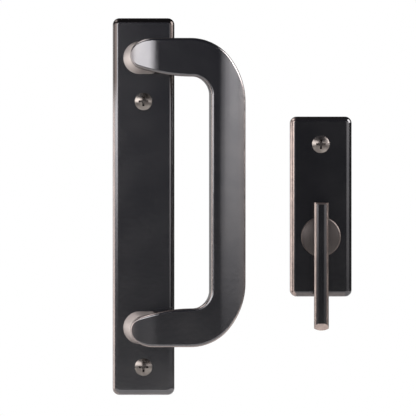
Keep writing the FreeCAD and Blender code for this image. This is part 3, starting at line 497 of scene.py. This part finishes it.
def paint_flare_sheen(casting, height):
    """Paints a pale sheen on the flare of the foot at this height, and makes it rougher."""
    across, up = casting.x - FOOT_MIDDLE * MM, casting.z - height * MM
    reach = (across * across + up * up).maths("SQRT")
    casting.layer(reach.step(*FLARE_ROUND) * casting.y.step(*FLARE_DEEP), FLARE_SHEEN, rougher=0.30)


bow = Casting("bronze_bow")
rub_and_shade_edges(bow, share=0.5)
for foot_height in FOOT_HEIGHTS:
    paint_flare_sheen(bow, foot_height)
dress("pull_bow", bow.done())

lever = Casting("bronze_lever", SHORT_SET_TONE)
rub_and_shade_edges(lever, share=0.9)
lever.layer(lever.y.step(*BASE_DEEP), SHADE_AND_BASE_BROWN, rougher=0.20, share=0.8)
dress("thumb_lever", lever.done())
print("bow and lever dressed")

# %% [markdown]
# ## Screws, washers and the tail bar
#
# The door screws carry a browner plating than the castings. Everything behind the plates is zinc
# plated steel, which is pale with faint blue and straw clouds. Both drift between two tones, and
# both have fine scratches, so one function makes them.

# %% Plated steel
DRIFT_PER_MM = 0.3
SCRATCH_PER_MM, SCRATCH_ROUGHNESS = 2.5, 0.1
SMALL_BUMP = 0.01 * MM


def plated(name, main, tint, rough):
    """A plated steel whose colour drifts between two tones."""
    finish = bpy.data.materials.new(name)
    board = blank(finish)
    place = board.add("ShaderNodeTexCoord", out=3)
    cloud = grain(board, place, DRIFT_PER_MM, detail=3.0).step(*CLOUD_EDGE)
    scratch = grain(board, place, SCRATCH_PER_MM, detail=3.0)
    principled(board, Base_Color=board.blend(cloud, main, tint), Metallic=1.0,
               Roughness=rough + SCRATCH_ROUGHNESS * scratch, Normal=bump(board, scratch, SMALL_BUMP))
    return finish


screw_bronze = plated("screw_bronze", (0.13, 0.115, 0.105), (0.09, 0.078, 0.072), rough=0.20)
zinc = plated("zinc_plating", (0.56, 0.58, 0.60), (0.60, 0.57, 0.48), rough=0.28)

for node in ("stop_washer", "disc_spring", "thrust_washer", "retaining_ring", "tailpiece",
             "tailpiece_pin"):
    dress(node, zinc)
print("steel parts dressed")

# %% [markdown]
# The sleeve round the lever's stem is moulded in black acetal, a slippery plastic that needs no
# grease. It has a soft sheen and a skin like fine leather.

# %% Moulded sleeve
ACETAL_BLACK, ACETAL_GREY = (0.020, 0.020, 0.021), (0.030, 0.030, 0.030)
PEBBLE_PER_MM, PEBBLE_ROUGHNESS = 3.0, 0.1
ACETAL_SHEEN = 0.38

acetal = bpy.data.materials.new("black_acetal")
skin_board = blank(acetal)
pebble = grain(skin_board, skin_board.add("ShaderNodeTexCoord", out=3), PEBBLE_PER_MM)
principled(skin_board, Base_Color=skin_board.blend(pebble, ACETAL_BLACK, ACETAL_GREY),
           Roughness=ACETAL_SHEEN + PEBBLE_ROUGHNESS * pebble, Normal=bump(skin_board, pebble, SMALL_BUMP))
dress("stem_bushing", acetal)
print("sleeve dressed")

# %% [markdown]
# ## Recipes with named sizes
#
# Seven screws and four washers are two rules at different sizes. Each rule is a Geometry Nodes
# tree whose sizes are named inputs. The tree shapes one piece and sets it on every point that it
# is given, with a last step that makes real meshes of the copies, because an export drops
# instances.

# %% Recipes
SHARP_EDGE = math.radians(35)
MERGE = 0.001 * MM


class Recipe(Board):
    """A Geometry Nodes tree that shapes one piece and sets it on every seat."""

    def __init__(self, name, *sizes):
        super().__init__(bpy.data.node_groups.new(name, "GeometryNodeTree"))
        self.keys = {}
        kinds = {"Seats": "Geometry", "Turn": "Vector", "Finish": "Material"}
        for size in (*kinds, *sizes):
            socket = self.tree.interface.new_socket(
                size, in_out="INPUT", socket_type="NodeSocket" + kinds.get(size, "Float"))
            self.keys[size] = socket.identifier
        self.tree.interface.new_socket("Pieces", in_out="OUTPUT", socket_type="NodeSocketGeometry")
        self.given = self.add("NodeGroupInput").socket.node

    def __getitem__(self, size):
        return Wire(self, self.given.outputs[size])

    def vector(self, x, y, z):
        return self.add("ShaderNodeCombineXYZ", {"X": x, "Y": y, "Z": z})

    def moved(self, shape, position):
        return self.add("GeometryNodeSetPosition", {"Geometry": shape, "Position": position})

    def turned(self, shape, rotation):
        return self.add("GeometryNodeTransform", {"Geometry": shape, "Rotation": rotation})

    def merged(self, shape):
        """Closes the seams where points lie on each other."""
        return self.add("GeometryNodeMergeByDistance", {"Geometry": shape, "Distance": MERGE})

    def close(self, shape):
        """Smooths all but the sharp edges, sets the shape on its seats and gives it its finish."""
        shape = self.add("GeometryNodeSetShadeSmooth", {"Geometry": shape, "Shade Smooth": True})
        sharp = self.add("GeometryNodeInputMeshEdgeAngle").maths("GREATER_THAN", SHARP_EDGE)
        shape = self.add("GeometryNodeSetShadeSmooth", {
            "Geometry": shape, "Selection": sharp, "Shade Smooth": False}, domain="EDGE")
        set_out = self.add("GeometryNodeInstanceOnPoints", {
            "Points": self["Seats"], "Instance": shape, "Rotation": self["Turn"]})
        real = self.add("GeometryNodeRealizeInstances", {"Geometry": set_out})
        dressed = self.add("GeometryNodeSetMaterial", {"Geometry": real, "Material": self["Finish"]})
        self.add("NodeGroupOutput", {"Pieces": dressed})


print("recipes ready")

# %% [markdown]
# A recipe runs as a modifier on a mesh of bare points, one at each seat. A modifier knows its
# inputs by their sockets' identifiers, not by their names, and they are set before the piece is
# first worked out. The result is kept as a plain mesh and the modifier is removed.

# %% Run a recipe
def run(recipe, name, seats, finish, turn=(0.0, 0.0, 0.0), **sizes):
    """One plain mesh object from seats and sizes in millimetres; sizes have _ for a space."""
    points = bpy.data.meshes.new(name)
    points.from_pydata([Vector(seat) * MM for seat in seats], [], [])
    piece = bpy.data.objects.new(name, points)
    bpy.context.scene.collection.objects.link(piece)
    modifier = piece.modifiers.new("recipe", "NODES")
    modifier.node_group = recipe.tree
    modifier[recipe.keys["Turn"]] = turn
    modifier[recipe.keys["Finish"]] = finish
    for size, given in sizes.items():
        modifier[recipe.keys[size.replace("_", " ")]] = given * MM
    ready = piece.evaluated_get(bpy.context.evaluated_depsgraph_get())
    piece.data = bpy.data.meshes.new_from_object(ready)
    piece.modifiers.remove(modifier)
    return piece


print("ready to run recipes")

# %% [markdown]
# A finished piece takes the place of its plain solids, which MuJoCo still uses. Each one is
# measured, because a fault inside a small part doesn't show in a picture: a sound solid has no
# open edge, and a volume above zero says that its faces point outwards.

# %% Keep and measure
def measure(piece):
    """Prints what a piece is made of."""
    shape = bmesh.new()
    shape.from_mesh(piece.data)
    loose = sum(not edge.is_manifold for edge in shape.edges)
    volume = shape.calc_volume(signed=True) / MM ** 3
    print(piece.name, len(shape.faces), "faces,", loose, "open edges,", round(volume), "mm3")
    shape.free()


def keep(piece, slot, *replaced):
    """Puts a piece on the door side in place of its plain solids."""
    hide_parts(*replaced)
    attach(piece, "door_side")
    measure(piece)


print("measure ready")

# %% [markdown]
# ## A screw from one sheet
#
# A lathe and a die make a real screw. Here one flat sheet is rolled up instead, as wide as one
# turn. Its rows run down the screw: first over the domed head, then its side, its underside and
# the neck, then along the thread. Both numbers are read from the flat sheet: how far around a
# point lies, and in which row.

# %% The sheet
ROUND = 32
DOME_ROWS = 6
TURN_ROWS = 4
THREAD_ROW = DOME_ROWS + 3
SPARE_ROWS = TURN_ROWS + 3

screw = Recipe("cross_recess_screw", "Head Radius", "Crown", "Side", "Under", "Neck Radius", "Neck",
               "Thread Radius", "Thread Depth", "Pitch", "Thread", "Tip", "Cross", "Wing", "Cross Depth")
row_rise = screw["Pitch"] / TURN_ROWS
rows = (screw["Thread"] / row_rise).maths("CEIL") + (THREAD_ROW + SPARE_ROWS)
sheet = screw.add("GeometryNodeMeshGrid", {
    "Size X": 1.0, "Size Y": rows - 1.0, "Vertices X": ROUND + 1, "Vertices Y": rows})
across, down, _ = screw.add("GeometryNodeInputPosition").parts()
around, row = across + 0.5, down + (rows - 1.0) / 2.0
print("sheet with", ROUND, "columns")

# %% [markdown]
# The thread's rows are sheared by one pitch over a turn, so they follow the helix, and row by
# row they lie in the root or on the crest. The thread grows out of the neck over its first
# pitch, and a chamfer at the tip cuts it down. Rows past either end fall together into a ring or
# a point.

# %% The thread
MID_ROW = (TURN_ROWS - 1) / 2

along = (row - THREAD_ROW + (around - 1.0) * TURN_ROWS) * row_rise
crest = (MID_ROW - abs((row / TURN_ROWS).maths("FRACT") * TURN_ROWS - MID_ROW)).clamp()
cut = screw["Thread Radius"] - screw["Thread Depth"] * (1.0 - crest)
cut = (along / screw["Pitch"]).clamp().between(screw["Neck Radius"], cut)
chamfer = (along - screw["Thread"] + screw["Tip"]).clamp(0.0, screw["Tip"])
cut = cut.least(screw["Thread Radius"] - chamfer)
cut = cut * (1.0 - ((along - screw["Thread"]) / row_rise).clamp())
print("thread cut")

# %% [markdown]
# Each stretch of rows has a ramp that goes from 0 to 1 and stays there. Radius and height are
# sums of these ramps, each times what that stretch adds. Merging the points that fall together
# closes the solid.

# %% Roll it up
def ramp(start, length=1):
    """0 up to a row, 1 from so many rows further on."""
    return ((row - start) / length).clamp()


dome, side, under, threaded = ramp(0, DOME_ROWS), ramp(DOME_ROWS), ramp(DOME_ROWS + 1), ramp(THREAD_ROW - 1)
radius = (dome * screw["Head Radius"] + under * (screw["Neck Radius"] - screw["Head Radius"])
          + threaded * (cut - screw["Neck Radius"]))
depth = (dome * dome * screw["Crown"] + side * screw["Side"] + under * screw["Under"]
         + threaded * (screw["Neck"] + along.clamp(0.0, screw["Thread"])))
angle = around * math.tau
body = screw.merged(screw.moved(sheet, screw.vector(
    radius * angle.maths("SINE"), depth, radius * angle.maths("COSINE"))))
print("head and shank rolled")

# %% [markdown]
# The driver's cross is two blocks cut from the head, a quarter turn apart. They narrow with
# depth, as a real driver does, so that it wedges itself in.

# %% Cut the cross
CROSS_TAPER = 0.4

for quarter in (0.0, math.pi / 2):
    block = screw.add("GeometryNodeMeshCube", {"Size": screw.vector(
        screw["Cross"], screw["Cross Depth"] * 2.0, screw["Wing"])})
    wide, deep, tall = screw.add("GeometryNodeInputPosition").parts()
    narrow = 1.0 - CROSS_TAPER * (deep / screw["Cross Depth"])
    wing = screw.turned(screw.moved(block, screw.vector(wide * narrow, deep, tall * narrow)),
                        (0.0, quarter, 0.0))
    body = screw.add("GeometryNodeMeshBoolean", {"Mesh 1": body, "Mesh 2": wing},
                     operation="DIFFERENCE", solver="EXACT")
screw.close(body)
print("screw recipe with", len(screw.tree.nodes), "nodes")

# %% [markdown]
# The door screws are raised countersunk number 12 machine screws, which pull the plates against
# the door. Two on the tall plate stand the common 168.3 mm apart.

# %% Door screws
DOOR_SCREW = dict(Head_Radius=5.55, Crown=1.5, Side=0.3, Under=3.4, Neck_Radius=2.4, Neck=3.7,
                  Thread_Radius=2.74, Thread_Depth=0.55, Pitch=1.06, Tip=0.9,
                  Cross=6.5, Wing=1.4, Cross_Depth=2.8)
HEAD_TOP = -9.5
PULL_SCREW_SPACING = 168.3
SHORT_PLATE_X, SHORT_SCREW_HEIGHT = 112.4, 57.0

pull_seats = [(0.0, HEAD_TOP, end * PULL_SCREW_SPACING / 2) for end in (1, -1)]
keep(run(screw, "pull_screws", pull_seats, screw_bronze, Thread=43.4, **DOOR_SCREW),
     "dark_bronze_screws", "pull_screw_upper", "pull_screw_lower")
short_seat = (SHORT_PLATE_X, HEAD_TOP, SHORT_SCREW_HEIGHT)
keep(run(screw, "short_plate_screw", [short_seat], screw_bronze, Thread=24.4, **DOOR_SCREW),
     "dark_bronze_screws", "lock_plate_screw")

# %% [markdown]
# The bow is held from behind by four M5 pan head screws, two to a foot, so the same recipe is
# turned round, with a flat underside and a short neck.

# %% Bow screws
PAN_SCREW = dict(Head_Radius=4.6, Crown=0.8, Side=2.1, Under=0.0, Neck_Radius=2.3, Neck=0.3,
                 Thread_Radius=2.5, Thread_Depth=0.45, Pitch=0.8, Thread=13.7, Tip=0.6,
                 Cross=4.6, Wing=1.1, Cross_Depth=1.9)
PAN_TOP = -0.7
BOW_SCREW_X = (-3.5, 7.5)
HALF_TURN = (0.0, 0.0, math.pi)

places = [(x, height) for height in FOOT_HEIGHTS for x in BOW_SCREW_X]
ends = [f"{foot}_{hand}" for foot in ("upper", "lower") for hand in ("left", "right")]
keep(run(screw, "bow_screws", [(x, PAN_TOP, height) for x, height in places], zinc, turn=HALF_TURN,
         **PAN_SCREW),
     "zinc_plated_steel", *("bow_screw_" + end for end in ends))

# %% [markdown]
# ## Split washers
#
# A spring washer is a square bar bent almost to a ring. Its slit leans, so its two corners bite
# when the screw tries to turn back. An arc carries the bar's section, and the turn of each point
# grows with its height to lean the slit.

# %% Washer recipe
ARC_POINTS = 48

washer = Recipe("split_washer", "Hole Radius", "Outer Radius", "Thickness", "Slit", "Lean")
middle = (washer["Hole Radius"] + washer["Outer Radius"]) / 2.0
slit = washer["Slit"] / middle
arc = washer.add("GeometryNodeCurveArc", {
    "Resolution": ARC_POINTS, "Radius": middle, "Start Angle": slit, "Sweep Angle": math.tau - slit})
bar = washer.add("GeometryNodeCurvePrimitiveQuadrilateral", {
    "Width": washer["Outer Radius"] - washer["Hole Radius"], "Height": washer["Thickness"]})
ring = washer.add("GeometryNodeCurveToMesh", {"Curve": arc, "Profile Curve": bar, "Fill Caps": True})
ring = washer.merged(washer.turned(ring, (math.pi / 2, 0.0, 0.0)))
spot = washer.add("GeometryNodeInputPosition")
lean = spot.parts()[1] / washer["Thickness"] * (washer["Lean"] / middle)
washer.close(washer.moved(ring, washer.add("ShaderNodeVectorRotate", {"Vector": spot, "Angle": lean},
                                           rotation_type="Y_AXIS")))
print("washer recipe with", len(washer.tree.nodes), "nodes")

# %% [markdown]
# One washer lies under each pan head, against the floor of the hollow.

# %% Spring washers
WASHER_MIDDLE = -4.2

keep(run(washer, "spring_washers", [(x, WASHER_MIDDLE, height) for x, height in places], zinc,
         Hole_Radius=2.55, Outer_Radius=4.3, Thickness=1.2, Slit=0.8, Lean=0.8),
     "zinc_plated_steel", *("spring_washer_" + end for end in ends))

# %% [markdown]
# ## The end

# %% The end
print("the end")
